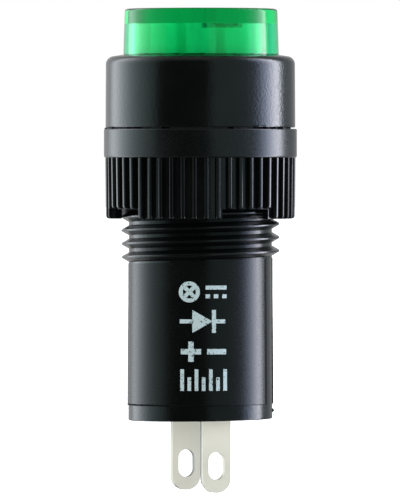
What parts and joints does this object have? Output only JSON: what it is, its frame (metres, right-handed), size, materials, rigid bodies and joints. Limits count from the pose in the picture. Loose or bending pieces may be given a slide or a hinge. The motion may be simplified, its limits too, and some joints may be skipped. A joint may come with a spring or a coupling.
{
  "type": "panel pilot light",
  "caption": "Round panel pilot light with a clear green lens in a black bezel, a threaded barrel with a knurled ring nut and rubber gasket, and solder tabs.",
  "frame": {"origin": "on the axis, in the panel plane under the bezel", "axes": "+Z along the axis, towards the lens; -Y towards the viewer of the picture"},
  "size_m": [0.0144, 0.0144, 0.0359],
  "materials": {
    "lens_green": "clear gloss",
    "diffuser_white": "milky",
    "housing_black": "satin",
    "film_black": "satin, with pale blue-grey print",
    "gasket_rubber": "matt",
    "nut_black": "satin",
    "plug_black": "satin",
    "tab_metal": "tin plated",
    "holder_white": "satin",
    "lamp_epoxy": "clear gloss",
    "lead_metal": "tin plated",
    "resistor_lacquer": "lacquered",
    "wire_insulation": "satin",
    "solder_metal": "satin"
  },
  "bodies": {
    "light": {"housing": "housing_black", "lens": "lens_green", "diffuser": "diffuser_white", "printed_film": "film_black", "rear_plug": "plug_black", "front_terminal": "tab_metal", "rear_terminal": "tab_metal", "led_holder": "holder_white", "led_body": "lamp_epoxy", "anode_lead": "lead_metal", "cathode_lead": "lead_metal", "resistor_body": "resistor_lacquer", "resistor_upper_lead": "lead_metal", "resistor_lower_lead": "lead_metal", "return_wire": "wire_insulation", "anode_solder": "solder_metal", "cathode_solder": "solder_metal", "front_lug_solder": "solder_metal", "rear_lug_solder": "solder_metal"},
    "gasket": {"panel_gasket": "gasket_rubber"},
    "nut": {"knurled_nut": "nut_black"}
  },
  "joints": [
    {"name": "gasket_slide", "type": "slide", "parent": "light", "child": "gasket", "axis": [0, 0, -1], "range_m": [0, 0.009]},
    {"name": "nut_turn", "type": "hinge", "parent": "gasket", "child": "nut", "pos_m": [0, 0, 0], "axis": [0, 0, -1], "range_deg": [0, 3240]}
  ],
  "couplings": [
    {"joint": "nut_turn", "follows": "gasket_slide", "rad_per_m": 6283.2}
  ]
}
